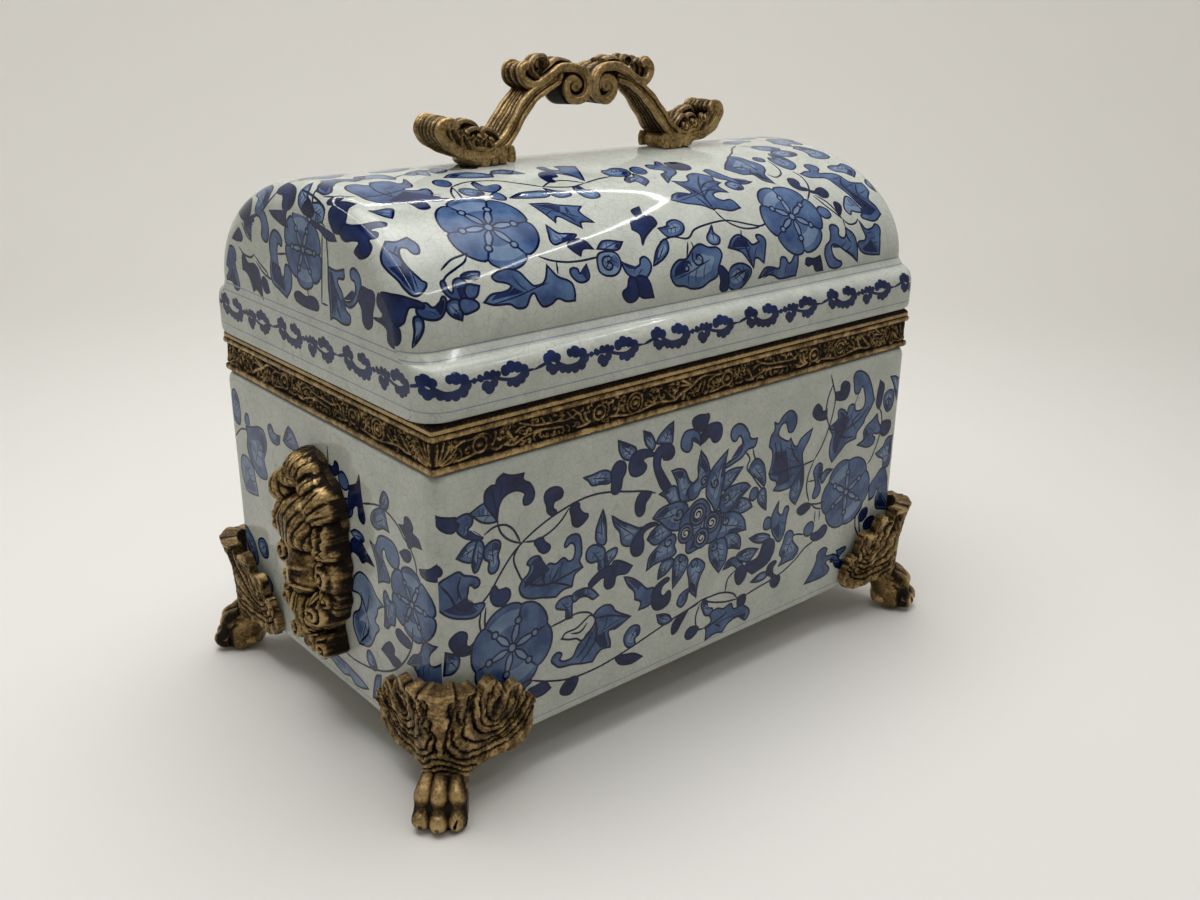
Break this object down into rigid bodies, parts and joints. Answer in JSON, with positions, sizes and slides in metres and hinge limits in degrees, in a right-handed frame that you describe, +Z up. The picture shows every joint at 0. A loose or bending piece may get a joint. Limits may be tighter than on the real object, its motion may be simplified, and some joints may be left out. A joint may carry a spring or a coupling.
{
  "type": "trinket box",
  "caption": "Dome-lidded blue-and-white porcelain casket with cast bronze collar, scroll handle, relief masks on the ends and lion-paw corner feet.",
  "frame": {"origin": "centre of the footprint on the floor under the paws", "axes": "+X along the length, -Y the front, hinges at +Y, +Z up"},
  "size_m": [0.293, 0.1896, 0.2599],
  "materials": {
    "glazed_porcelain": "gloss",
    "cast_bronze": "antiqued",
    "pressed_bronze": "antiqued",
    "hinge_brass": "satin",
    "plated_steel": "satin"
  },
  "bodies": {
    "body": {"body_shell": "glazed_porcelain", "body_collar": "pressed_bronze", "foot_front_left": "cast_bronze", "foot_front_right": "cast_bronze", "foot_back_left": "cast_bronze", "foot_back_right": "cast_bronze", "mask_left": "cast_bronze", "mask_right": "cast_bronze", "hinge_left_body_leaf": "hinge_brass", "hinge_left_pin": "hinge_brass", "hinge_right_body_leaf": "hinge_brass", "hinge_right_pin": "hinge_brass"},
    "lid": {"lid_shell": "glazed_porcelain", "lid_rim": "pressed_bronze", "handle": "cast_bronze", "handle_screw_left": "plated_steel", "handle_screw_right": "plated_steel", "handle_washer_left": "plated_steel", "handle_washer_right": "plated_steel", "hinge_left_lid_leaf": "hinge_brass", "hinge_right_lid_leaf": "hinge_brass"}
  },
  "joints": [
    {"name": "lid_hinge", "type": "hinge", "parent": "body", "child": "lid", "pos_m": [0, 0.0833, 0.14565], "axis": [-1, 0, 0], "range_deg": [0, 100]}
  ]
}
